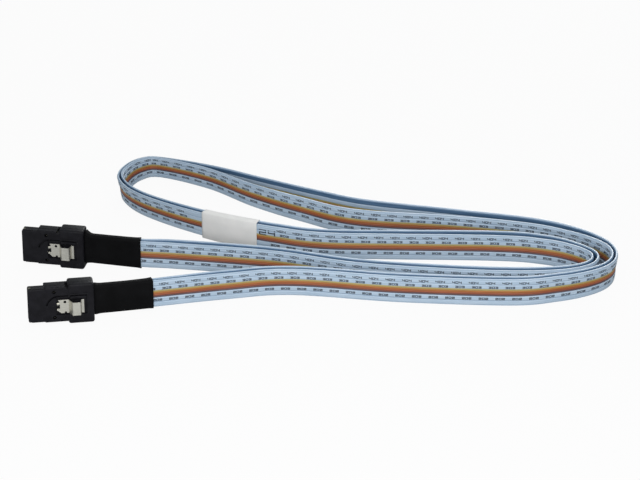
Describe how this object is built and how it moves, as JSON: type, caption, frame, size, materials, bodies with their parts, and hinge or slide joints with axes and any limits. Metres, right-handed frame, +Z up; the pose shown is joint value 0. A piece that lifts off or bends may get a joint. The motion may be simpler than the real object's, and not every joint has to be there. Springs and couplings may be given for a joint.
{
  "type": "mini sas cable",
  "caption": "Internal mini SAS cable of flat blue ribbons laid face to face in a loop, with a latching plug and a black heat-shrink sleeve at each end and a folded label.",
  "frame": {"origin": "middle of the base of the whole cable's box, on the table it lies on", "axes": "+X along the long side of the loop, away from the plugs; +Z up, across the ribbons' width; the latches face about -Y"},
  "size_m": [0.313, 0.1892, 0.022],
  "materials": {
    "blue_insulation": "glossy",
    "label_paper": "matte",
    "black_nylon": "satin",
    "heat_shrink": "matte",
    "circuit_board": "satin",
    "tinned_copper": "satin",
    "grommet_rubber": "matte",
    "spring_steel": "satin"
  },
  "bodies": {
    "cable": {"ribbon_layer_1": "blue_insulation", "ribbon_layer_2": "blue_insulation", "cable_label": "label_paper", "housing_a": "black_nylon", "housing_b": "black_nylon", "back_cover_a": "black_nylon", "back_cover_b": "black_nylon", "sleeve_a": "heat_shrink", "sleeve_b": "heat_shrink", "paddle_card_a": "circuit_board", "paddle_card_b": "circuit_board", "leads_front_a": "tinned_copper", "leads_front_b": "tinned_copper", "leads_back_a": "tinned_copper", "leads_back_b": "tinned_copper", "grommet_a": "grommet_rubber", "grommet_b": "grommet_rubber"},
    "latch_a": {"latch_a": "spring_steel"},
    "latch_b": {"latch_b": "spring_steel"}
  },
  "joints": [
    {"name": "latch_press_a", "type": "hinge", "parent": "cable", "child": "latch_a", "pos_m": [-0.12878, -0.02668, 0.01], "axis": [0, 0, -1], "range_deg": [0, 2.5], "stiffness_Nm_per_rad": 0.05},
    {"name": "latch_press_b", "type": "hinge", "parent": "cable", "child": "latch_b", "pos_m": [-0.1188, -0.08979, 0.01], "axis": [0, 0, -1], "range_deg": [0, 2.5], "stiffness_Nm_per_rad": 0.05}
  ]
}
